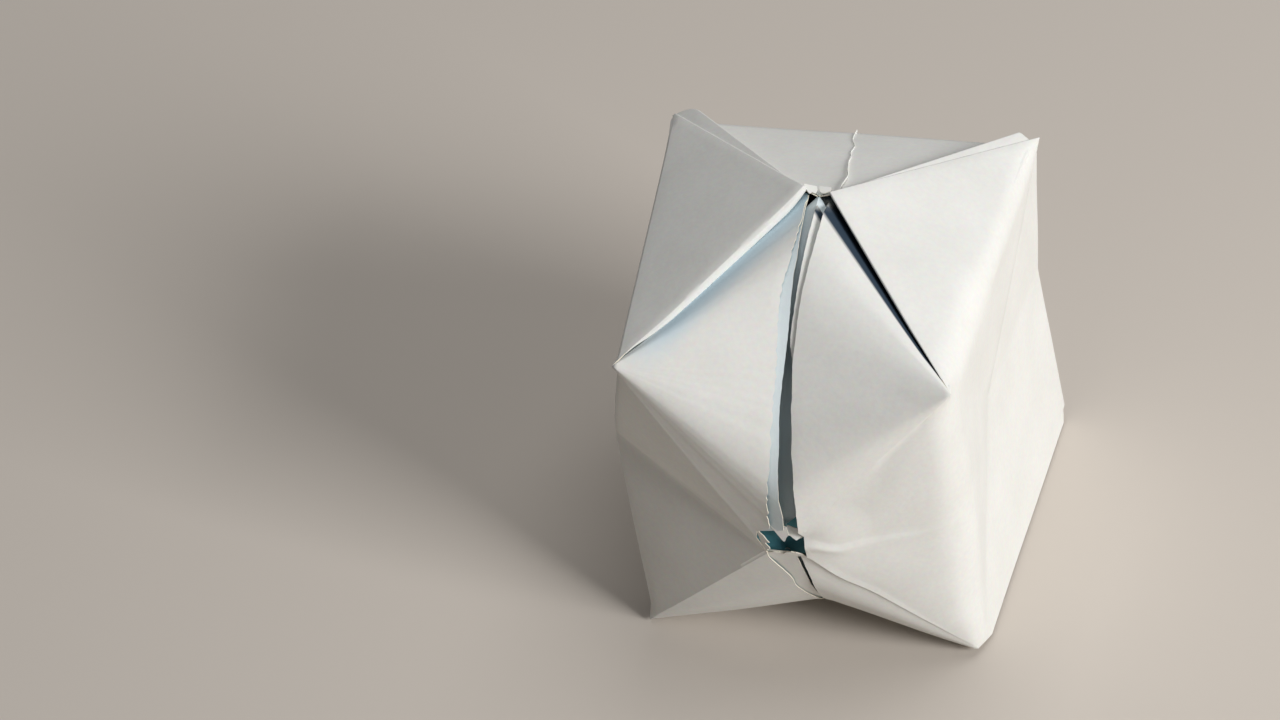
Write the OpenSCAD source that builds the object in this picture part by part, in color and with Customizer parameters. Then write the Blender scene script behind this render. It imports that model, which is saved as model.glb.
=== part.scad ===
// Paper balloon: one square sheet, folded into the traditional water bomb
// and blown half full, so that it stands as a dented cube on four corners.
// Millimetres. +Z is up, -Y is the side with the blow hole, and the origin
// lies on the table under the middle of the balloon.

/* [Sheet] */
// Side of the square sheet before folding
sheet_side = 150; // [75:1:300]
// Thickness of the paper
paper_t = 0.1; // [0.06:0.01:0.2]
// Layers pressed together in each folded-over corner
corner_layers = 8; // [6:1:10]
// How much thicker the corners are where their paper turns back
turn_swell = 0.15; // [0:0.05:0.5]
// Air between a flap and the wall that it lies on
flap_air = 0.25; // [0.1:0.05:1]
// Air between the two layers of a flap at the slot
layer_air = 0.15; // [0.05:0.05:0.5]
// Air between a folded-over corner and the flap under it, at the corner's tip
corner_air = 0.25; // [0.1:0.05:1]

/* [Blown shape] */
// How far the upper corners lean to the left of the lower ones
lean_left = 2.4; // [0:0.1:5]
// How far the upper corners lean out over the hole side
lean_front = 2.8; // [0:0.1:5]
// How far the rear corners stand to the right of the front ones
skew_right = 1.7; // [0:0.1:4]
// Further shift of the rear feet to the right
rear_feet_right = 1.5; // [0:0.1:3]
// How much the slot draws the two upper front corners together
top_pinch = 5; // [0:0.1:8]
// How much the lower slot draws the two front feet together
foot_pinch = 2.8; // [0:0.1:8]
// Drop of the upper corners below those of a full cube
slump = 1.5; // [0:0.1:4]
// Height of the upper rear corners over the upper front ones
rear_lift = 1.9; // [0:0.1:4]
// Rise of the crown above the four upper corners
crown_rise = 6.5; // [2:0.1:10]
// Shift of the crown towards the rear
crown_back = 1; // [0:0.1:3]
// Reach of the nose, where the hole is, out of the four front corners
nose_reach = 4.7; // [2:0.1:8]
// Shift of the nose to the left
nose_left = 1; // [0:0.1:3]
// Shift of the nose above the middle of the four front corners
nose_up = 0.4; // [0:0.1:3]
// Depth of the dent in the base
base_dent = 3.5; // [1:0.1:8]
// Depth of the dent in the left side
left_dent = 5; // [1:0.1:8]
// Depth of the dent in the right side
right_dent = 2.5; // [1:0.1:8]
// Reach of the middle of the rear face out of its four corners
rear_reach = 0.8; // [0:0.1:3]
// How far the two dented sides are pushed in at the rear edges
rear_fold_in = 1.5; // [0:0.1:4]
// How far the fold at the front of the left side is pushed back
left_fold_back = 4.6; // [0:0.1:7]
// How far that fold stands out to the left
left_fold_out = 2.8; // [0:0.1:5]
// How far that fold sits above half height
left_fold_up = 5.2; // [0:0.1:7]
// How far the fold at the front of the right side sits above half height
right_fold_up = 1.8; // [0:0.1:7]
// How far the fold at the rear of the right side sits above half height
right_rear_fold_up = 1.9; // [0:0.1:7]

/* [Blow hole] */
// Width of the hole
hole_w = 4.6; // [2:0.1:8]
// Height of the hole
hole_h = 3.2; // [1:0.1:6]

/* [Slots] */
// Opening between the raw edges of the upper slot
slot_w = 1.4; // [0.6:0.1:3]
// Opening between the raw edges of the lower slot
base_slot_w = 1; // [0.6:0.1:3]
// How far the upper slot bows out of the straight line from nose to crown
slot_bow = 6.5; // [2:0.1:8]
// How full that bow is: 2 for a plain arc, more for steeper ends
slot_fullness = 3; // [2:0.1:4]
// How far the lower slot bows out of the straight line from nose to base
base_slot_bow = 8; // [2:0.1:10]
// How far the lower layer of a flap stands out past the upper one
layer_step = 0.4; // [0.1:0.1:1]
// Distance between the tips of the two folded corners at the crown
tip_gap = 2.4; // [1:0.1:4]
// How far the flaps reach in under the folded corners
flap_tuck = 8; // [2:0.5:14]

/* [Hidden] */
$fn = 16;
paper_white = "#E9E8E4";
steps = 10;
edge = sheet_side / 4;
half = edge / 2;
top_z = edge - slump;
corner_t = corner_layers * paper_t;
gap = 0.3 * paper_t;
lower_seat = paper_t + gap;
upper_seat = 2 * lower_seat;
lower_rise = lower_seat + flap_air;
upper_rise = lower_rise + lower_seat + layer_air;
corner_seat = upper_seat + (paper_t + corner_t) / 2 + gap;
corner_rise = upper_rise + (paper_t + corner_t) / 2 + corner_air;
flap_fold_t = upper_seat + 2 * paper_t;
corner_fold_t = corner_seat + corner_t / 2 + paper_t;

// The eight corners of the dented cube
front_x = -skew_right / 2;
rear_x = skew_right / 2;
top_y = [-half - lean_front, half - lean_front];
top_front_z = top_z - rear_lift / 2;
top_rear_z = top_z + rear_lift / 2;
left_front_top = [front_x - half + top_pinch / 2 - lean_left, top_y[0], top_front_z];
right_front_top = [front_x + half - top_pinch / 2 - lean_left, top_y[0], top_front_z];
left_rear_top = [rear_x - half - lean_left, top_y[1], top_rear_z];
right_rear_top = [rear_x + half - lean_left, top_y[1], top_rear_z];
left_front_foot = [front_x - half + foot_pinch / 2, -half, 0];
right_front_foot = [front_x + half - foot_pinch / 2, -half, 0];
left_rear_foot = [rear_x - half + rear_feet_right, half, 0];
right_rear_foot = [rear_x + half + rear_feet_right, half, 0];

// The middles of the six faces
top_corners = [left_front_top, right_front_top, left_rear_top, right_rear_top];
feet = [left_front_foot, right_front_foot, left_rear_foot, right_rear_foot];
crown = middle(top_corners) + [0, crown_back, crown_rise];
base = middle(feet) + [0, 0, base_dent];
nose = middle([left_front_top, right_front_top, left_front_foot, right_front_foot])
       + [-nose_left, -nose_reach, nose_up];
rear = middle([left_rear_top, right_rear_top, left_rear_foot, right_rear_foot])
       + [0, rear_reach, 0];
left_side = middle([left_front_top, left_rear_top, left_front_foot, left_rear_foot])
            + [left_dent, 0, 0];
right_side = middle([right_front_top, right_rear_top, right_front_foot, right_rear_foot])
             - [right_dent, 0, 0];
heart = middle(concat(top_corners, feet));

// The ends of the creases across the two dented sides
left_fold = middle([left_front_top, left_front_foot])
            + [-left_fold_out, left_fold_back, left_fold_up];
right_fold = middle([right_front_top, right_front_foot]) + [0, 0, right_fold_up];
left_rear_fold = middle([left_rear_top, left_rear_foot]) + [rear_fold_in, 0, 0];
right_rear_fold = middle([right_rear_top, right_rear_foot])
                  + [-rear_fold_in, 0, right_rear_fold_up];

// The lines of the two slots, bowed outwards by the slack paper beside them
slot_line = bowed(crown, left_front_top, right_front_top, slot_bow, slot_fullness);
base_slot_line = bowed(base, left_front_foot, right_front_foot, base_slot_bow, 2);

// The folds that run to the hole, in turn, and the rim that they end on
spokes = [slot_line[0], right_front_top, right_fold, right_front_foot,
          base_slot_line[0], left_front_foot, left_fold, left_front_top];
rim = [for (p = spokes) rim_point(p)];

// One layer of paper round the whole balloon, as triangles between its folds
wall = concat(
    [for (i = [0:7]) [rim[i], spokes[i], spokes[(i + 1) % 8]]],
    [for (i = [0:7]) [rim[i], rim[(i + 1) % 8], spokes[(i + 1) % 8]]],
    fan(left_front_top, slot_line),
    fan(right_front_top, slot_line),
    fan(left_front_foot, base_slot_line),
    fan(right_front_foot, base_slot_line),
    fan(crown, [left_front_top, left_rear_top, right_rear_top, right_front_top]),
    fan(base, [left_front_foot, left_rear_foot, right_rear_foot, right_front_foot]),
    fan(left_side, [left_fold, left_front_top, left_rear_top, left_rear_fold,
                    left_rear_foot, left_front_foot, left_fold]),
    fan(right_side, [right_fold, right_front_top, right_rear_top, right_rear_fold,
                     right_rear_foot, right_front_foot, right_fold]),
    fan(rear, [left_rear_top, right_rear_top, right_rear_fold, right_rear_foot,
               left_rear_foot, left_rear_fold, left_rear_top])
);

// The folded-over corners of the sheet, which lock the flaps
corners = [
    corner(left_front_top, left_rear_top, crown),
    corner(right_front_top, right_rear_top, crown),
    corner(left_front_foot, left_rear_foot, base),
    corner(right_front_foot, right_rear_foot, base),
];

// How far the balloon is moved to stand on the table over the origin
reach = concat(joined(wall), joined(corners));
standing = -[
    (min([for (p = reach) p.x]) + max([for (p = reach) p.x])) / 2,
    (min([for (p = reach) p.y]) + max([for (p = reach) p.y])) / 2,
    min([for (p = joined(corners)) p.z]) - (corner_t + turn_swell) / 2,
];

function joined(lists) = [for (l = lists) for (p = l) p];
function total(list, i = 0) = i < len(list) - 1 ? list[i] + total(list, i + 1) : list[i];
function middle(list) = total(list) / len(list);
function unit(v) = v / norm(v);
function fan(top, line) = [for (i = [0:len(line) - 2]) [top, line[i], line[i + 1]]];

// The direction out of the balloon, square to a triangle
function outward(c) =
    let (n = unit(cross(c[1] - c[0], c[2] - c[0])))
    n * (middle(c) - heart) > 0 ? n : -n;

// The same triangle, its corners turned so that it faces outwards
function facing(c) = cross(c[1] - c[0], c[2] - c[0]) * outward(c) > 0 ? c : [c[0], c[2], c[1]];

// A slot's line from just over the hole to the middle of its face
function bowed(end, a, b, bow, fullness) =
    let (out = unit((a + b) / 2 - (nose + end) / 2))
    [for (i = [1:steps])
        let (s = i / steps)
        nose + (end - nose) * s + out * bow * (1 - pow(abs(2 * s - 1), fullness))];

// Where the fold from the nose to a point meets the oval rim of the hole
function rim_point(p) =
    let (d = unit(p - nose))
    nose + d / norm([d.x / (hole_w / 2), d.z / (hole_h / 2)]);

// One layer of a flap: turned over the ridge from a corner to the hole, free at the slot
function flap(c, r, line, far, seat, rise, back) =
    let (
        end = line[len(line) - 1],
        out = outward([nose, c, end]),
        aside = unit(c - (nose + end) / 2),
        free = [for (i = [0:len(line) - 1])
                    line[i] + aside * back + out * (seat + (rise - seat) * min(1, (i + 1) / 4))],
        tuck = end + unit(far - end) * flap_tuck + out * rise
    )
    fan(c + out * seat, concat([r + out * seat], free, [tuck]));

// A folded-over corner: turned over a side edge, its tip lifted and short of the middle
function corner(f, r, m) =
    let (
        out = outward([f, r, m]),
        back = unit((f + r) / 2 - m) * tip_gap / 2
    )
    [f + out * corner_seat, r + out * corner_seat, m + back + out * corner_rise];

// Paper of thickness t along a surface of triangles
module paper(surface, t) {
    faces = [for (c = surface) facing(c)];
    all = joined(faces);
    points = [for (i = [0:len(all) - 1]) if (place(all[i], all) == i) all[i]];
    n = len(points);
    ids = [for (c = faces) [for (p = c) place(p, points)]];
    normals = [for (p = points) unit(total([for (c = faces) if (place(p, c) >= 0) outward(c)]))];
    edges = joined([for (c = ids) [[c[0], c[1]], [c[1], c[2]], [c[2], c[0]]]]);
    open = [for (e = edges) if (place([e[1], e[0]], edges) < 0) e];
    polyhedron(
        points = concat([for (i = [0:n - 1]) points[i] + normals[i] * t / 2],
                        [for (i = [0:n - 1]) points[i] - normals[i] * t / 2]),
        faces = concat([for (c = ids) [c[2], c[1], c[0]]],
                       [for (c = ids) [c[0] + n, c[1] + n, c[2] + n]],
                       [for (e = open) [e[1] + n, e[0] + n, e[0]]],
                       [for (e = open) [e[1] + n, e[0], e[1]]])
    );
}

// Where a value first stands in a list, or -1
function place(v, list) =
    let (hits = [for (i = [0:len(list) - 1]) if (list[i] == v) i])
    len(hits) > 0 ? hits[0] : -1;

// Layers pressed together between round edges
module pressed(ends, t) {
    hull()
        for (p = ends)
            translate(p)
                sphere(d = t);
}

// The two layers of a flap, and the round fold that joins them to the wall
module flap_pair(c, r, line, far, w) {
    out = outward([nose, c, line[len(line) - 1]]);
    middle_layer = out * lower_seat;
    paper(flap(c, r, line, far, lower_seat, lower_rise, w / 2), paper_t);
    paper(flap(c, r, line, far, upper_seat, upper_rise, w / 2 + layer_step), paper_t);
    pressed([c + middle_layer, r + middle_layer], flap_fold_t);
}

// A thick folded-over corner: its layers, the turned edges, and the fold on the side edge
module folded_corner(c) {
    fold_in = -outward(c) * (corner_seat - corner_fold_t / 2 + paper_t / 2);
    pressed(c, corner_t);
    pressed([c[0], c[2]], corner_t + turn_swell);
    pressed([c[1], c[2]], corner_t + turn_swell);
    pressed([c[0] + fold_in, c[1] + fold_in], corner_fold_t);
}

module folded_sheet() {
    color(paper_white)
        translate(standing) {
            paper(wall, paper_t);
            flap_pair(left_front_top, rim[7], slot_line, left_rear_top, slot_w);
            flap_pair(right_front_top, rim[1], slot_line, right_rear_top, slot_w);
            flap_pair(left_front_foot, rim[5], base_slot_line, left_rear_foot, base_slot_w);
            flap_pair(right_front_foot, rim[3], base_slot_line, right_rear_foot, base_slot_w);
            for (c = corners)
                folded_corner(c);
        }
}

folded_sheet();
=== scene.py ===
import math

import bmesh
import bpy
from mathutils import Matrix, Vector, noise


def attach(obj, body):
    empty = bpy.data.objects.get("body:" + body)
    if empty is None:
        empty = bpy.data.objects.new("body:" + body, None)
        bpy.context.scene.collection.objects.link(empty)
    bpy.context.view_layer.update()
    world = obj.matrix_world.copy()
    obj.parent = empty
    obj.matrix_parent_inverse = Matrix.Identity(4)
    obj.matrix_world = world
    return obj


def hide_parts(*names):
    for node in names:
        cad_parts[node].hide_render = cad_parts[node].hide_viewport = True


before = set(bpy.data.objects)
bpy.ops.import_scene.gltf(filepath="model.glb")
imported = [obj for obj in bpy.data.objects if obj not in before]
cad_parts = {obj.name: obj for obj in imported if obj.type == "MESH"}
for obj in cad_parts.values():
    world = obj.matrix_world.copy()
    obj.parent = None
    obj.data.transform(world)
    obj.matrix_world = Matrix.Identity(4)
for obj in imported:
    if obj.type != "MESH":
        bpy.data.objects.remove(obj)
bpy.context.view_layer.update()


# The sheet, blown up: one 150 mm square of white paper with a teal back, folded into
# a water bomb and blown up through the hole at its nose. Its single layer stands as a
# dented cube, creased where it was folded. Points are in millimetres.
MM = 0.001
PANEL_STEPS = 28
MERGE_DISTANCE = 0.002

left_front_top = Vector((-19.2, -18.6, 37.0))
right_front_top = Vector((13.3, -18.6, 37.0))
left_rear_top = Vector((-20.0, 18.9, 38.9))
right_rear_top = Vector((17.5, 18.9, 38.9))
left_front_foot = Vector((-17.9, -15.8, 0.4))
right_front_foot = Vector((16.8, -15.8, 0.4))
left_rear_foot = Vector((-16.1, 21.7, 0.2))
right_rear_foot = Vector((21.4, 21.7, 0.2))
crown = Vector((-2.1, 1.2, 44.0))
base = Vector((1.0, 3.0, 4.6))
nose = Vector((-2.8, -21.9, 19.1))
rear_middle = Vector((0.7, 21.1, 20.0))
left_dent = Vector((-13.3, 1.6, 19.5))
right_dent = Vector((14.7, 1.6, 19.5))
left_fold = Vector((-21.4, -12.6, 23.9))
right_fold = Vector((15.3, -16.9, 20.5))
left_rear_fold = Vector((-16.6, 20.3, 20.0))
right_rear_fold = Vector((17.9, 20.3, 21.6))
heart = Vector((0.0, 0.0, 20.0))

rim_right_top = nose + Vector((2.3, 0.3, 1.0))
rim_right = nose + Vector((2.4, 0.2, -0.3))
rim_right_foot = nose + Vector((2.5, 0.3, -1.9))
rim_left_foot = nose + Vector((-1.4, 0.3, -2.0))
rim_left = nose + Vector((-2.5, 0.5, -0.3))
rim_left_top = nose + Vector((-2.4, 0.4, 0.7))

front_bulge = 0.3
rear_bulge = 0.2


def facing(direction, away):
    """A direction, or its opposite, whichever points away."""
    return direction if direction.dot(away) > 0 else -direction


def outward(a, b, c):
    """The normal of a triangle of paper, out of the balloon."""
    return facing((b - a).cross(c - a).normalized(), (a + b + c) / 3 - heart)


def add_face(mesh, corners, away):
    normal = (corners[1].co - corners[0].co).cross(corners[2].co - corners[0].co)
    return mesh.faces.new(corners if normal.dot(away) > 0 else corners[::-1])


def panel(mesh, a, b, c, bulge=0.0, away=None):
    """A triangle of paper between three folds, its middle pushed out by bulge."""
    away = away or (a + b + c) / 3 - heart
    out = facing((b - a).cross(c - a).normalized(), away)
    rows = []
    for i in range(PANEL_STEPS + 1):
        row = []
        for j in range(i + 1):
            u, w = 1 - i / PANEL_STEPS, j / PANEL_STEPS
            v = 1 - u - w
            middling = 27 * u * v * w  # 1 in the middle of the panel, 0 along its folds
            row.append(mesh.verts.new(a * u + b * v + c * w + out * middling * bulge))
        rows.append(row)
    for i in range(PANEL_STEPS):
        for j in range(i + 1):
            add_face(mesh, [rows[i][j], rows[i + 1][j], rows[i + 1][j + 1]], out)
            if j < i:
                add_face(mesh, [rows[i][j], rows[i + 1][j + 1], rows[i][j + 1]], out)
    return rows


sheet = bmesh.new()
# Marks for painted shade: dark in the pocket under the right corner, and bluish beside the left
# roll and on the layers behind.
pocket_shade = sheet.verts.layers.float.new("pocket_shade")
show_through = sheet.verts.layers.float.new("show_through")
for near, far, a, b in ((rim_right_top, rim_right, right_front_top, right_fold),
                        (rim_right, rim_right_foot, right_fold, right_front_foot),
                        (rim_left_foot, rim_left, left_front_foot, left_fold),
                        (rim_left, rim_left_top, left_fold, left_front_top)):
    panel(sheet, near, a, b, front_bulge)
    panel(sheet, near, far, b)
panel(sheet, crown, left_rear_top, right_rear_top, rear_bulge)
panel(sheet, base, left_rear_foot, right_rear_foot, rear_bulge)
for a, b in ((left_rear_top, right_rear_top), (right_rear_top, right_rear_fold),
             (right_rear_fold, right_rear_foot), (right_rear_foot, left_rear_foot),
             (left_rear_foot, left_rear_fold), (left_rear_fold, left_rear_top)):
    panel(sheet, rear_middle, a, b, rear_bulge)


# The folded-over corners: eight layers of the sheet pressed together and turned over
# each side edge on to the flaps, two at the crown and two under the base. Their outer
# layer runs on from the side walls and is rolled round the two free edges.
ROLL_STEPS = 6
corner_bulge = 0.15
roll_lap = 0.15
roll_lap_ends = ((0.0, 0.0), (0.15, 1.0), (0.85, 1.0), (1.0, 0.0))


def between(stops, s):
    """The value at s on a smooth line through a few (place, value) pairs."""
    if s <= stops[0][0]:
        return stops[0][1]
    for (s0, v0), (s1, v1) in zip(stops, stops[1:]):
        if s <= s1:
            t = (s - s0) / (s1 - s0)
            return v0 + (v1 - v0) * t * t * (3 - 2 * t)
    return stops[-1][1]


def straight(a, b, steps=PANEL_STEPS):
    return [a.lerp(b, i / steps) for i in range(steps + 1)]


def folded_corner(front, back, tip, lift_back, lift_tip, tip_aside):
    """The front, back and tip of a corner, lifted off the flaps that it lies on."""
    out = outward(front, back, tip)
    aside = ((front + back) / 2 - tip).normalized()
    return front, back + out * lift_back, tip + aside * tip_aside + out * lift_tip


def rolled_edge(mesh, corner, radii):
    """Paper rolled round the free edges of a corner: down, and back in underneath."""
    front, back, tip = corner
    out = outward(front, back, tip)
    middle = (front + back + tip) / 3
    # The roll starts two steps in from the front, where the edge is still flat.
    line = straight(front, tip)[2:] + straight(tip, back)[1:]
    last = len(line) - 1
    rings = []
    for i, p in enumerate(line):
        before = (p - line[max(i - 1, 0)]).cross(out)
        after = (line[min(i + 1, last)] - p).cross(out)
        side = facing((before.normalized() + after.normalized()).normalized(), p - middle)
        radius = between(radii, i / last)
        ring = []
        for k in range(ROLL_STEPS + 1):
            turn = math.pi * k / ROLL_STEPS
            away = side * math.sin(turn) + out * math.cos(turn)
            ring.append((p + (away - out) * radius, away))
        lap = roll_lap * between(roll_lap_ends, i / last)
        ring.append((p.lerp(middle, lap) - out * 2 * radius, -out))
        rings.append([(mesh.verts.new(q), away) for q, away in ring])
    for a, b in zip(rings, rings[1:]):
        for k in range(ROLL_STEPS + 1):
            away = a[k][1] + a[k + 1][1]
            add_face(mesh, [a[k][0], b[k][0], b[k + 1][0], a[k + 1][0]], away)


def side_wall(mesh, dent, line, away):
    for a, b in zip(line, line[1:]):
        panel(mesh, dent, a, b, 0.0, away)


top_left = folded_corner(left_front_top, left_rear_top, crown,
                         lift_back=0.9, lift_tip=1.6, tip_aside=1.2)
top_right = folded_corner(right_front_top, right_rear_top, crown,
                          lift_back=0.9, lift_tip=1.0, tip_aside=1.0)
foot_left = folded_corner(left_front_foot, left_rear_foot, base,
                          lift_back=0.0, lift_tip=1.0, tip_aside=1.2)
foot_right = folded_corner(right_front_foot, right_rear_foot, base,
                           lift_back=0.0, lift_tip=1.0, tip_aside=1.2)
for front, back, tip in (top_left, top_right, foot_left, foot_right):
    panel(sheet, tip, front, back, corner_bulge)
side_wall(sheet, left_dent,
          [left_fold, left_front_top, top_left[1], left_rear_top, left_rear_fold,
           left_rear_foot, left_front_foot, left_fold], Vector((-1, 0, 0)))
side_wall(sheet, right_dent,
          [right_fold, right_front_top, top_right[1], right_rear_top, right_rear_fold,
           right_rear_foot, right_front_foot, right_fold], Vector((1, 0, 0)))


# The flaps: the paper beside each slot, turned over the ridge that runs from a corner
# to the hole. It is two layers thick, bows out where air pushed it, ends in a raw edge
# at the slot and is tucked under a folded-over corner.
EDGE_STEPS = 90
TUCK_STEPS = 6
DIP_STEPS = 4
slot_bow = 6.5
slot_fullness = 3.0
base_slot_bow = 8.0
base_slot_fullness = 2.0
hole_share = 0.04  # of each slot's line, from the nose
outer_rise = 0.7  # of the outer layer's raw edge over the slot's line
rise_run = ((hole_share, 0.0), (0.2, 1.0))
flap_tuck = 8.0
right_short = 0.4  # by which the right flap is drawn back from the crown
short_run = ((0.8, 0.0), (0.96, 1.0))
tears_per_mm = 1.7
left_ragged = 0.2
right_ragged = 0.05
base_left_ragged = 0.1
base_right_ragged = 0.05


def bow_out(end, a, b):
    return ((a + b) / 2 - (nose + end) / 2).normalized()


def bowed(end, out, bow, fullness, s):
    """A point of a slot's line, pushed outwards by the slack paper beside it."""
    return nose.lerp(end, s) + out * bow * (1 - abs(2 * s - 1) ** fullness)


top_out = bow_out(crown, left_front_top, right_front_top)
base_out = bow_out(base, left_front_foot, right_front_foot)


def slot_at(s):
    return bowed(crown, top_out, slot_bow, slot_fullness, s)


def base_slot_at(s):
    return bowed(base, base_out, base_slot_bow, base_slot_fullness, s)


top_slot = (slot_at, top_out)
base_slot = (base_slot_at, base_out)


def fan(mesh, apex, line, dips=None):
    """Paper spread from a corner to a line of points, dipping under what covers it."""
    columns = []
    for i, p in enumerate(line):
        dip = dips[i] if dips else Vector()
        spread = [apex.lerp(p, j / PANEL_STEPS) + dip * min(1, j / DIP_STEPS)
                  for j in range(PANEL_STEPS + 1)]
        columns.append([mesh.verts.new(q) for q in spread])
    for a, b in zip(columns, columns[1:]):
        for j in range(PANEL_STEPS):
            corners = [a[j], a[j + 1], b[j + 1]] + ([b[j]] if j else [])
            add_face(mesh, corners, (a[j + 1].co + b[j + 1].co) / 2 - heart)
    return columns


def flap(mesh, apex, rim, slot, edge, rise, ragged, far, dip, short=0.0):
    """A flap from its corner to its raw edge, which ends in a tuck towards a far corner."""
    line_at, out = slot
    line = [rim]
    dips = [Vector()]
    slot_end = (line_at(1.0) - line_at(0.9)).normalized()
    for i in range(EDGE_STEPS + 1):
        s = hole_share + (1 - hole_share) * i / EDGE_STEPS
        p = line_at(s) + Vector((between(edge, s), 0, 0))
        p += out * rise * between(rise_run, s)
        p.x += ragged * noise.noise(p * tears_per_mm)
        line.append(p)
        dips.append(-out * between(dip, s) - slot_end * short * between(short_run, s))
    tuck = line[-1] + (far - line[-1]).normalized() * flap_tuck
    for p in straight(line[-1], tuck, TUCK_STEPS)[1:]:
        line.append(p)
        dips.append(dips[-1])
    return fan(mesh, apex, line, dips)


# Where each raw edge lies to the right of its slot's line, from the nose to the slot's end.
left_edge = ((0.05, -1.0), (0.27, -0.8), (0.45, -0.9), (0.74, -1.4), (0.92, -1.0), (1.0, -1.0))
right_edge = ((0.0, 2.3), (0.03, 1.9), (0.1, 1.8), (0.2, 1.6), (0.32, 1.2), (0.43, 0.85),
              (0.55, 0.54), (0.69, 0.53), (0.94, 1.0), (1.0, 1.1))
base_left_edge = ((0.05, -1.8), (0.165, 0.1), (0.35, 1.25), (0.6, 1.0), (1.0, -0.5))
base_right_edge = ((0.05, 1.65), (0.165, 2.0), (0.35, 2.0), (0.6, 1.8), (1.0, 1.0))
# How far a flap dips under its folded-over corner, on the same way.
soft_dip = ((0.8, 0.0), (1.0, 0.6))
sharp_dip = ((0.85, 0.0), (0.972, 0.2), (0.99, 1.4), (1.0, 1.8))

left_flap = flap(sheet, left_front_top, rim_left_top, top_slot, left_edge, outer_rise,
                 left_ragged, left_rear_top, soft_dip)
right_flap = flap(sheet, right_front_top, rim_right_top, top_slot, right_edge, outer_rise,
                  right_ragged, right_rear_top, sharp_dip, right_short)
flap(sheet, left_front_foot, rim_left_foot, base_slot, base_left_edge, outer_rise,
     base_left_ragged, left_rear_foot, soft_dip)
flap(sheet, right_front_foot, rim_right_foot, base_slot, base_right_edge, outer_rise,
     base_right_ragged, right_rear_foot, soft_dip)


# The handling of the paper: a crumple at the right corner, a painted dark shade in the
# pocket under it, partly the teal back, a painted bluish shade along the left flap beside
# its rolled corner, partly the teal back showing through, ridges that were bent but never
# creased, and walls that were never quite flat.
crumple_at = right_front_top + Vector((-2.6, -0.6, -0.3))
crumple_reach = ((0.5, 1.0), (3.5, 0.0))
crumple_height = 0.15
crumple_size = 1.1
pocket_start = round(0.98 * EDGE_STEPS)
pocket_depth = ((5.0, 1.0), (8.0, 0.0))
pocket_from_crown = ((0.8, 0.0), (2.2, 1.0))
pocket_from_corner = ((1.0, 0.0), (2.4, 1.0))
# Where the painted bluish shade lies on the left flap: its width from the roll and its run from
# the front.
shade_strip_width = ((1.0, 1.0), (4.0, 0.0))
shade_strip_run = ((0.0, 0.0), (0.3, 1.0))
soft_factor = 0.5
soft_narrowing = 0.8
wave_height = 0.12
wave_length = 11.0


def along(p, a, b):
    """How far p lies along the line from a to b, and its distance from that line."""
    s = min(1, max(0, (p - a).dot(b - a) / (b - a).length_squared))
    return s, (p - a.lerp(b, s)).length


def in_pocket(p):
    """How far inside the dark pocket under the right corner a point lies, from 0 to 1."""
    inside = between(pocket_depth, along(p, top_right[0], top_right[2])[1])
    inside *= between(pocket_from_crown, (p - crown).length)
    return inside * between(pocket_from_corner, (p - right_front_top).length)


def soften(mesh, a, b, reach, passes, edges_too=False):
    """Rounds the paper near a line, with passes that reach less and less far."""
    near = [(along(v.co, a, b)[1], v) for v in mesh.verts if edges_too or not v.is_boundary]
    for k in range(passes):
        limit = reach * (1 - soft_narrowing * k / passes)
        chosen = [v for off, v in near if off < limit]
        bmesh.ops.smooth_vert(mesh, verts=chosen, factor=soft_factor,
                              use_axis_x=True, use_axis_y=True, use_axis_z=True)


for column in right_flap:
    for v in column:
        near = between(crumple_reach, (v.co - crumple_at).length)
        v.co += top_out * crumple_height * near * noise.noise(v.co / crumple_size)
# Painted dark shade, partly the teal back, on the end of the right flap that lies in the pocket.
for column in right_flap[pocket_start:]:
    for v in column:
        v[pocket_shade] = in_pocket(v.co)
# Painted bluish shade on the left flap beside its rolled corner, partly the teal back showing
# through.
for column in left_flap:
    for v in column:
        s, off = along(v.co, top_left[0], top_left[2])
        v[show_through] = between(shade_strip_width, off) * between(shade_strip_run, s)
bmesh.ops.remove_doubles(sheet, verts=sheet.verts, dist=MERGE_DISTANCE)

# Each bent line, how far its bend reaches in millimetres and how many passes round it.
for a, b, reach, passes in (
        (top_right[0], top_right[0].lerp(top_right[1], 0.93), 2.2, 14),
        (top_right[0], top_right[0].lerp(top_right[1], 0.4), 4.0, 30),
        (right_fold, right_fold.lerp(right_front_foot, 0.65), 5.5, 50),
        (right_fold.lerp(right_front_foot, 0.6), right_front_foot, 2.2, 14),
        (right_front_top, right_fold, 4.5, 40),
        (top_left[0], top_left[1], 0.9, 4),
        (left_rear_top, right_rear_top, 1.0, 6),
        (left_rear_foot, right_rear_foot, 1.0, 6),
        (left_fold, left_fold.lerp(left_front_foot, 0.92), 1.2, 6),
        (left_fold, left_front_top, 1.5, 8),
        (rim_right_top, rim_right_top.lerp(right_front_top, 0.35), 4.0, 30)):
    soften(sheet, a, b, reach, passes)
sheet.normal_update()
for v in sheet.verts:
    if not v.is_boundary:
        v.co += v.normal * wave_height * noise.noise(v.co / wave_length)


# The crease to the right of the hole: a fold of the flat sheet that was blown out. It
# sags a little, is still raised along its line, and pushes the hole's lip outwards.
crease_height = 0.2
crease_width = 0.6
crease_run = ((0.0, 1.0), (0.9, 0.8), (1.0, 0.0))
crease_sag = ((0.0, 0.0), (0.25, 1.4), (0.8, 1.3), (1.0, 0.2))
sag_reach = ((0.0, 1.0), (9.0, 0.0))
lip_at = nose + Vector((4.5, 0.8, 0.8))
lip_height = 0.6
lip_reach = ((0.0, 1.0), (5.0, 0.0))
right_of_hole = nose.x + 1.5
front_wall = -12.0
for v in sheet.verts:
    if v.co.x > right_of_hole and v.co.y < front_wall:
        s, off = along(v.co, rim_right, right_fold)
        v.co.y -= crease_height * math.exp(-(off / crease_width) ** 2) * between(crease_run, s)
        v.co.z -= between(crease_sag, s) * between(sag_reach, off)
        v.co.y -= lip_height * between(lip_reach, (v.co - lip_at).length)


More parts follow.
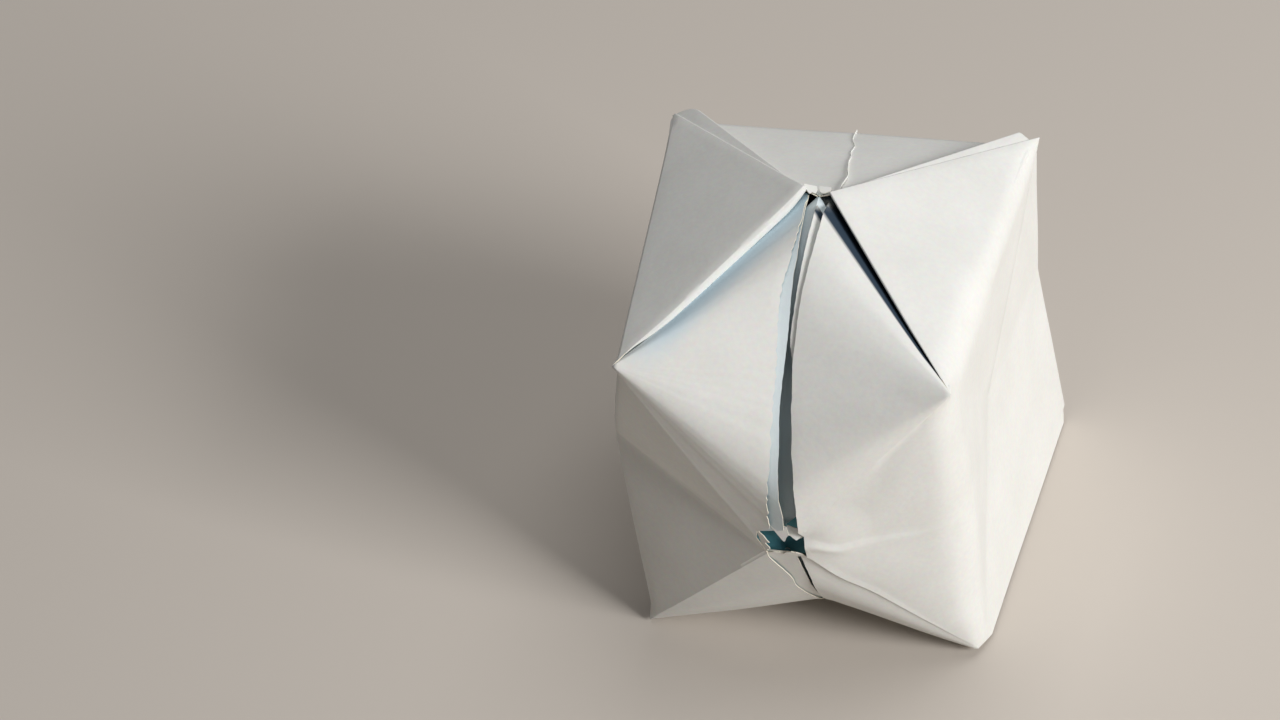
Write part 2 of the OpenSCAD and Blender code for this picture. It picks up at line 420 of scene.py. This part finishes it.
# The edges of the upper corners: the left one is rolled thickly along the flap, the
# right one is pressed thin. The sharp points of the sheet are blunted by handling.
left_roll = ((0.0, 0.05), (0.12, 0.55), (0.42, 0.58), (0.55, 0.15), (1.0, 0.12))
right_roll = ((0.0, 0.05), (0.15, 0.17), (1.0, 0.12))
blunting_passes = 8
rolled_edge(sheet, top_left, left_roll)
rolled_edge(sheet, top_right, right_roll)
bmesh.ops.remove_doubles(sheet, verts=sheet.verts, dist=MERGE_DISTANCE)
for point, inwards, reach in ((right_front_foot, nose, 1.6), (right_rear_foot, rear_middle, 0.7),
                              (left_rear_foot, rear_middle, 1.0), (top_left[1], rear_middle, 0.9)):
    soften(sheet, point, point.lerp(inwards, 0.01), reach, blunting_passes, edges_too=True)


# The layers behind: the second layer of each flap, the walls of the slots and the
# paper under the folded-over corners. They are more of the same sheet, and show in
# the slots, in the pockets and through the hole.
SLOT_STEPS = 24
inner_rise = 0.4
inner_ragged = 0.05
layer_gap = 0.3
left_tuck = 0.3
right_tuck = 0.4
foot_tuck = 0.8
short_of_corner = 0.07
slot_depth = 1.3
slot_depth_run = ((0.7, 1.0), (1.0, 0.2))
wall_depth = 0.8
under_depth = 0.6
under_tip = 0.15
under_front = 0.35
under_back = 0.25
# How much painted bluish shade the layers behind and the slot walls take.
shade_behind = 0.5
strip_end = 0.02
strip_down = 0.2
strip_in = 0.1
left_inner_edge = ((0.08, 0.4), (0.14, 0.1), (0.27, 0.0), (0.43, -0.3), (0.6, -0.25),
                   (0.8, -0.55), (1.0, -1.0))
right_inner_edge = ((0.0, 2.6), (0.1, 2.1), (0.32, 1.5), (0.5, 0.6), (0.62, 0.0), (1.0, 0.1))
base_left_inner_edge = ((0.05, 1.2), (0.165, 1.6), (0.35, 1.8), (1.0, 0.5))


def tucked(corner, out, depth):
    """Where a layer behind ends: short of the corner, and below the layer over it."""
    return corner.lerp(nose, short_of_corner) - out * depth


inner = bmesh.new()
# The same marks for painted shade, on the layers behind.
pocket_shade = inner.verts.layers.float.new("pocket_shade")
show_through = inner.verts.layers.float.new("show_through")
inner_left = flap(inner, tucked(left_front_top, top_out, left_tuck),
                  rim_left_top - top_out * layer_gap, top_slot, left_inner_edge,
                  inner_rise, inner_ragged, left_rear_top, soft_dip)
inner_right = flap(inner, tucked(right_front_top, top_out, right_tuck),
                   rim_right_top - top_out * layer_gap, top_slot, right_inner_edge,
                   inner_rise, inner_ragged, right_rear_top, sharp_dip, right_short)
flap(inner, tucked(left_front_foot, base_out, foot_tuck), rim_left_foot - base_out * layer_gap,
     base_slot, base_left_inner_edge, inner_rise, inner_ragged, left_rear_foot, soft_dip)

slot_walls = []
for corner in (left_front_top, right_front_top):
    bottom = []
    for i in range(1, SLOT_STEPS + 1):
        s = i / SLOT_STEPS
        bottom.append(slot_at(s) - top_out * slot_depth * between(slot_depth_run, s))
    slot_walls += fan(inner, tucked(corner, top_out, wall_depth), bottom)
for corner in (left_front_foot, right_front_foot):
    bottom = [base_slot_at(i / SLOT_STEPS) - base_out * slot_depth
              for i in range(2, SLOT_STEPS + 1)]
    slot_walls += fan(inner, tucked(corner, base_out, wall_depth), bottom)

pocket_walls = inner_right[pocket_start:]
for front, back, tip in ((left_front_top, left_rear_top, crown),
                         (right_front_top, right_rear_top, crown),
                         (left_front_foot, left_rear_foot, base),
                         (right_front_foot, right_rear_foot, base)):
    middle = (front + back + tip) / 3
    under = outward(front, back, tip) * -under_depth
    pocket_walls += panel(inner, tip.lerp(middle, under_tip) + under,
                          front.lerp(middle, under_front) + under,
                          back.lerp(middle, under_back) + under)

for (front, back, tip), rear_top in ((top_left, left_rear_top), (top_right, right_rear_top)):
    out = outward(front, back, tip)
    past = facing((back - tip).cross(out).normalized(), back - front)
    upper = [inner.verts.new(p - out * strip_down - past * strip_in)
             for p in straight(tip, back.lerp(tip, strip_end))]
    lower = [inner.verts.new(p - past * strip_in)
             for p in straight(crown, rear_top.lerp(crown, strip_end))]
    for i in range(PANEL_STEPS):
        add_face(inner, [upper[i], upper[i + 1], lower[i + 1], lower[i]], past)

# Painted bluish shade on the second layer and the slot walls, partly the teal back showing
# through.
for column in inner_left + slot_walls:
    for v in column:
        v[show_through] = shade_behind
# Painted dark shade, partly the teal back, on the paper in the pockets under the corners.
for column in pocket_walls:
    for v in column:
        v[pocket_shade] = in_pocket(v.co)

# Behind the hole the sheet's teal back faces out.
backing = [nose + Vector(step) for step in
           ((-3.6, 2.3, 5.0), (3.6, 2.3, 5.0), (3.6, 1.7, -2.8), (-3.6, 1.7, -2.8))]
panel(inner, backing[0], backing[1], backing[2], 0.0, Vector((0, 1, 0)))
panel(inner, backing[0], backing[2], backing[3], 0.0, Vector((0, 1, 0)))
bmesh.ops.remove_doubles(inner, verts=inner.verts, dist=MERGE_DISTANCE)


# The layers inside the two upper corners: the tips of the sheet, tucked in and pressed
# flat, a little out of line, so that they show past the top layer at the rear.
LAYERS = 3
ROUND_STEPS = 6
SIDE_STEPS = 20
RIM_STEPS = 8
layer_thickness = 0.32
layer_pitch = 0.33
first_layer = 0.3
layer_stagger = 0.35
layer_end_in = 0.2
layer_tip_back = 0.08
layer_tip_past = 0.15
covered_share = 0.3
covered_in = 0.05
most_rounding = 0.45  # of a layer's shortest side


def pressed_layer(mesh, corners, thickness, rounding):
    """Paper pressed together: a flat plate with round edges and round corners."""
    out = outward(*corners[:3])
    centre = sum(corners, Vector()) / len(corners)
    sides = list(zip(corners, corners[1:] + corners[:1]))
    half_width = min(along(centre, a, b)[1] for a, b in sides)
    rounding = min(rounding, most_rounding * min((b - a).length for a, b in sides))
    outline = []
    for i, p in enumerate(corners):
        before, after = corners[i - 1], corners[(i + 1) % len(corners)]
        start = p + (before - p).normalized() * rounding
        end = p + (after - p).normalized() * rounding
        for k in range(ROUND_STEPS + 1):
            t = k / ROUND_STEPS
            outline.append(start.lerp(p, t).lerp(p.lerp(end, t), t))
        stop = after + (p - after).normalized() * rounding
        outline += straight(end, stop, SIDE_STEPS)[1:-1]
    loops = []
    for k in range(RIM_STEPS + 1):
        turn = math.pi * (k / RIM_STEPS - 0.5)
        scale = 1 - (1 - math.cos(turn)) * thickness / 2 / half_width
        rise = out * math.sin(turn) * thickness / 2
        loops.append([mesh.verts.new(centre + (p - centre) * scale + rise) for p in outline])
    count = len(outline)
    for lower, upper in zip(loops, loops[1:]):
        for i in range(count):
            j = (i + 1) % count
            away = (lower[i].co + upper[j].co) / 2 - centre
            add_face(mesh, [lower[i], lower[j], upper[j], upper[i]], away)
    for loop, away in ((loops[0], -out), (loops[-1], out)):
        hub = mesh.verts.new(centre + away * thickness / 2)
        for i in range(count):
            add_face(mesh, [loop[i], loop[(i + 1) % count], hub], away)


# Per corner: how far its layers show past its edge, how far along that edge their outer
# and inner ends lie from the rear, and how round those ends are.
stack = bmesh.new()
for corner, past_edge, outer_end, inner_end, rounding in ((top_left, 1.9, 1.9, 0.25, 1.2),
                                                          (top_right, 1.43, 1.5, 0.9, 0.25)):
    front, back, tip = corner
    out = outward(front, back, tip)
    past = facing((back - tip).cross(out).normalized(), back - front)
    to_tip = (tip - back).normalized()
    for layer in range(LAYERS):
        sunk = out * (first_layer + layer_pitch * layer)
        shown = past * past_edge * (1 - layer_stagger * layer)
        covered = back.lerp(front, covered_share).lerp(tip, covered_in)
        inner_corner = back + to_tip * inner_end - past * layer_end_in
        outer_corner = back + to_tip * outer_end + shown
        layer_tip = tip.lerp(back, layer_tip_back) + past * layer_tip_past
        outline = [p - sunk for p in (covered, inner_corner, outer_corner, layer_tip)]
        pressed_layer(stack, outline, layer_thickness, rounding)


# The crack across the rear of the top: the crease down the middle of that triangle, which
# wore through. Its torn lips stand up as a thin, jagged line.
CRACK_STEPS = 24
crack_w = 0.22
crack_h = 0.16
crack_sunk = -0.1
crack_lift = 0.05
crack_wander = 0.4
crack_waves = 7
crack_tears = 14
crack_taper = ((0.0, 1.2), (1.0, 0.5))
crack_start = left_rear_top.lerp(right_rear_top, 0.51)
crack_end = crown + Vector((2.2, 1.2, -0.1))
crack = []
for i in range(CRACK_STEPS + 1):
    s = i / CRACK_STEPS
    p = crack_start.lerp(crack_end, s)
    wander = crack_wander * noise.noise(Vector((s * crack_waves, 0.3, 0.7)))
    p += Vector((wander, 0, crack_lift))
    torn = 0.5 + 0.5 * noise.noise(Vector((s * crack_tears, 2.1, 0.2)))
    half = crack_w * torn * between(crack_taper, s) / 2
    lips = [Vector((-half, 0, crack_sunk)), Vector((0, 0, crack_h)),
            Vector((half, 0, crack_sunk))]
    crack.append([stack.verts.new(p + step) for step in lips])
for a, b in zip(crack, crack[1:]):
    for k in range(3):
        stack.faces.new([a[k], b[k], b[(k + 1) % 3], a[(k + 1) % 3]])
stack.faces.new(crack[0])
stack.faces.new(crack[-1][::-1])
bmesh.ops.recalc_face_normals(stack, faces=stack.faces)


# The torn bits at the blow hole and the crown: raw paper that stuck up where the tips
# of the sheet were pushed in, and was left ragged.
TAB_STEPS = 14
TAB_ROWS = 4
tab_tears_per_mm = 2.3
tab_end = 0.08
tab_bluntness = 0.6


def torn_tab(mesh, a, b, hang, ragged):
    """A bit of raw edge from a to b that hangs out, its end ragged."""
    columns = []
    for i in range(TAB_STEPS + 1):
        s = i / TAB_STEPS
        root = a.lerp(b, s)
        reach = math.sin(math.pi * (tab_end + (1 - 2 * tab_end) * s)) ** tab_bluntness
        reach += ragged * noise.noise(root * tab_tears_per_mm)
        columns.append([mesh.verts.new(root + hang * reach * k / TAB_ROWS)
                        for k in range(TAB_ROWS + 1)])
    out = facing((b - a).cross(hang).normalized(), Vector((0, -1, 0.3)))
    for left, right in zip(columns, columns[1:]):
        for k in range(TAB_ROWS):
            add_face(mesh, [left[k], right[k], right[k + 1], left[k + 1]], out)


# Each bit's two ends, which way and how far it hangs, and how ragged it is.
tabs = bmesh.new()
for a, b, hang, ragged in (
        ((-1.1, 0.2, 2.4), (0.6, -0.1, 2.1), (0.5, -0.3, -1.7), 0.35),
        ((0.6, 0.2, 2.1), (2.2, 0.3, 1.5), (0.0, -0.2, -1.2), 0.45),
        ((0.1, 0.5, -2.2), (2.3, 0.5, -2.2), (0.1, -0.5, 0.9), 0.35),
        ((-2.6, 0.6, 1.0), (-1.8, 0.5, -1.7), (0.8, -0.5, 0.0), 0.6),
        ((-1.6, 0.5, -2.2), (-0.3, 0.6, -2.2), (0.3, -0.4, 0.6), 0.5)):
    torn_tab(tabs, nose + Vector(a), nose + Vector(b), Vector(hang), ragged)
for a, b, hang, ragged in (
        ((-1.5, 0.4, 1.0), (-0.2, 0.5, 0.7), (0.2, -0.9, -0.3), 0.4),
        ((0.0, 0.6, 0.7), (1.2, 0.5, 0.7), (0.0, -0.8, -0.2), 0.5)):
    torn_tab(tabs, crown + Vector(a), crown + Vector(b), Vector(hang), ragged)


# The paper itself: folding paper of 70 g/m2, bleached white, printed teal on its back
# and cream where it was cut. It is matt, softly clouded where the fibres lie thicker,
# and dented by fingers. All the layers are one sheet, so they are joined into one.
paper_thickness = 0.1 * MM
cloud_size = 7 * MM
dent_size = 3 * MM
dent_depth = 0.1 * MM
dent_strength = 0.45
fibre_size = 0.5 * MM
fibre_depth = 0.03 * MM
fibre_strength = 0.4
grain_strength = 0.14
paper_roughness = 0.8
paper_gloss = 0.3
smooth_angle = math.radians(30)


def linear(hex_colour):
    """The linear colour of an sRGB hex value."""
    channels = [int(hex_colour[i:i + 2], 16) / 255 for i in (1, 3, 5)]
    return [c / 12.92 if c <= 0.04045 else ((c + 0.055) / 1.055) ** 2.4
            for c in channels] + [1.0]


def add(tree, kind, settings=None, links=None):
    """Adds a node with its settings and links."""
    node = tree.nodes.new(kind)
    for name, value in (settings or {}).items():
        if name in node.inputs:
            node.inputs[name].default_value = value
        else:
            setattr(node, name, value)
    for name, socket in (links or {}).items():
        tree.links.new(socket, node.inputs[name])
    return node


def paper(name, colour, cloud_colour):
    """Paper of one colour: clouded, grained by its fibres and dented. The fibres are
    drawn coarser than real ones, so that they show."""
    material = bpy.data.materials.new(name)
    material.use_nodes = True
    tree = material.node_tree
    shader = tree.nodes["Principled BSDF"]
    place = {"Vector": add(tree, "ShaderNodeTexCoord").outputs["Object"]}
    cloud = add(tree, "ShaderNodeTexNoise", {"Scale": 1 / cloud_size, "Detail": 3.0}, place)
    fibre = add(tree, "ShaderNodeTexNoise", {"Scale": 1 / fibre_size, "Detail": 4.0}, place)
    dents = add(tree, "ShaderNodeTexNoise", {"Scale": 1 / dent_size, "Detail": 2.0}, place)
    clouded = add(tree, "ShaderNodeMix", {"data_type": "RGBA"},
                  {"Factor": cloud.outputs["Fac"]})
    clouded.inputs[6].default_value = linear(colour)
    clouded.inputs[7].default_value = linear(cloud_colour)
    grained = add(tree, "ShaderNodeMix",
                  {"data_type": "RGBA", "blend_type": "MULTIPLY", "Factor": grain_strength})
    tree.links.new(clouded.outputs[2], grained.inputs[6])
    tree.links.new(fibre.outputs["Color"], grained.inputs[7])
    tree.links.new(grained.outputs[2], shader.inputs["Base Color"])
    handled = add(tree, "ShaderNodeBump", {"Strength": dent_strength, "Distance": dent_depth},
                  {"Height": dents.outputs["Fac"]})
    fibrous = add(tree, "ShaderNodeBump", {"Strength": fibre_strength, "Distance": fibre_depth},
                  {"Height": fibre.outputs["Fac"], "Normal": handled.outputs["Normal"]})
    tree.links.new(fibrous.outputs["Normal"], shader.inputs["Normal"])
    shader.inputs["Roughness"].default_value = paper_roughness
    shader.inputs["Specular IOR Level"].default_value = paper_gloss
    return material


def tone(material, attribute, colour):
    """Mixes another colour in where the sheet is marked with an attribute: a painted shade."""
    tree = material.node_tree
    base_colour = tree.nodes["Principled BSDF"].inputs["Base Color"]
    mark = add(tree, "ShaderNodeAttribute", {"attribute_name": attribute})
    mixed = add(tree, "ShaderNodeMix", {"data_type": "RGBA"}, {"Factor": mark.outputs["Fac"]})
    tree.links.new(base_colour.links[0].from_socket, mixed.inputs[6])
    mixed.inputs[7].default_value = linear(colour)
    tree.links.new(mixed.outputs[2], base_colour)


# The face: bleached pulp pressed smooth, so a dull white. Painted on it: a bluish shade,
# partly the teal back showing through, and a dark shade in the pocket, partly the teal back.
white_paper = paper("white_folding_paper", "#F5F4F0", "#E6E5DF")
# Painted bluish shade, partly the teal back showing through.
tone(white_paper, "show_through", "#C4DAE5")
# Painted dark shade for the pocket under the right corner, partly the teal back.
tone(white_paper, "pocket_shade", "#2C3B4A")
# The back: a flat teal print, as dull as the face.
teal_back = paper("teal_paper_back", "#74B7C2", "#63A6B2")
# The cut: open fibres, which look cream beside the face.
raw_edge = paper("raw_paper_edge", "#F3EBDA", "#E9DFCB")


def made_of_paper(name, mesh_data):
    """An object in metres, with the paper's outside, back and raw edge as its materials."""
    mesh = bpy.data.meshes.new(name)
    for v in mesh_data.verts:
        v.co *= MM
    mesh_data.to_mesh(mesh)
    mesh_data.free()
    for material in (white_paper, teal_back, raw_edge):
        mesh.materials.append(material)
    made = bpy.data.objects.new(name, mesh)
    bpy.context.scene.collection.objects.link(made)
    return made


folded_paper = made_of_paper("folded_paper", sheet)
lining = made_of_paper("lining", inner)
pressed_layers = made_of_paper("pressed_layers", stack)
torn_bits = made_of_paper("torn_bits", tabs)
for single_layer in (folded_paper, lining, torn_bits):
    bpy.context.view_layer.objects.active = single_layer
    thickness = single_layer.modifiers.new("thickness", "SOLIDIFY")
    thickness.thickness = paper_thickness
    thickness.offset = -1
    thickness.material_offset = 1
    thickness.material_offset_rim = 2
    bpy.ops.object.modifier_apply(modifier="thickness")
bpy.ops.object.select_all(action="DESELECT")
for made in (folded_paper, lining, pressed_layers, torn_bits):
    made.select_set(True)
bpy.context.view_layer.objects.active = folded_paper
bpy.ops.object.shade_smooth_by_angle(angle=smooth_angle)
bpy.ops.object.join()
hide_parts("folded_sheet")
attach(folded_paper, "root")


# The floor: a plain pale table top, matt and even, on which the balloon stands on its
# four lower corners. It is wide enough to fill the view.
floor_side = 6.0
bpy.ops.object.select_all(action="DESELECT")
bpy.ops.mesh.primitive_plane_add(size=floor_side, location=(0, 0, 0))
floor = bpy.context.object
floor.name = "floor"
pale_floor = bpy.data.materials.new("pale_floor")
pale_floor.use_nodes = True
floor_shader = pale_floor.node_tree.nodes["Principled BSDF"]
floor_shader.inputs["Base Color"].default_value = linear("#D0C7BD")
floor_shader.inputs["Roughness"].default_value = 0.9
floor.data.materials.append(pale_floor)


# The light: a soft window to the right and in front, a wide pale ceiling over the rear
# and a little light from all round, low enough that the white paper keeps its tones.
world = bpy.data.worlds.new("studio")
bpy.context.scene.world = world
world.use_nodes = True
sky = world.node_tree.nodes["Background"]
sky.inputs["Color"].default_value = linear("#EEF2F6")
sky.inputs["Strength"].default_value = 0.08
lamp_aim = Vector((0, 0, 0.02))
for name, place, size, power in (("window", (0.56, -0.28, 0.34), 0.26, 4.3),
                                 ("ceiling", (0.05, 0.20, 0.70), 0.50, 2.0)):
    light = bpy.data.lights.new(name, "AREA")
    light.size = size
    light.energy = power
    lamp = bpy.data.objects.new(name, light)
    bpy.context.scene.collection.objects.link(lamp)
    lamp.location = place
    lamp.rotation_euler = (lamp_aim - Vector(place)).to_track_quat("-Z", "Y").to_euler()


# The camera: close above the balloon, a little to the right of its hole and slightly
# tilted, with the balloon to the right of the middle of the view.
azimuth = math.radians(13.50)
elevation = math.radians(40.29)
roll = math.radians(-3.99)
distance = 339.3 * MM
target = Vector((-20.84, 0, 21.85)) * MM
sensor_width = 36.0
focal_length_px = 3306
view_width_px = 1280
back = Vector((math.sin(azimuth) * math.cos(elevation),
               -math.cos(azimuth) * math.cos(elevation), math.sin(elevation)))
level = Vector((math.cos(azimuth), math.sin(azimuth), 0))
upright = back.cross(level)
right = level * math.cos(roll) + upright * math.sin(roll)
up = upright * math.cos(roll) - level * math.sin(roll)
lens = bpy.data.cameras.new("camera")
lens.sensor_width = sensor_width
lens.lens = focal_length_px / view_width_px * sensor_width
lens.clip_start = 0.01
camera = bpy.data.objects.new("camera", lens)
bpy.context.scene.collection.objects.link(camera)
turned = Matrix((right, up, back)).transposed().to_4x4()
camera.matrix_world = Matrix.Translation(target + back * distance) @ turned
bpy.context.scene.camera = camera
bpy.context.scene.view_settings.view_transform = "Standard"
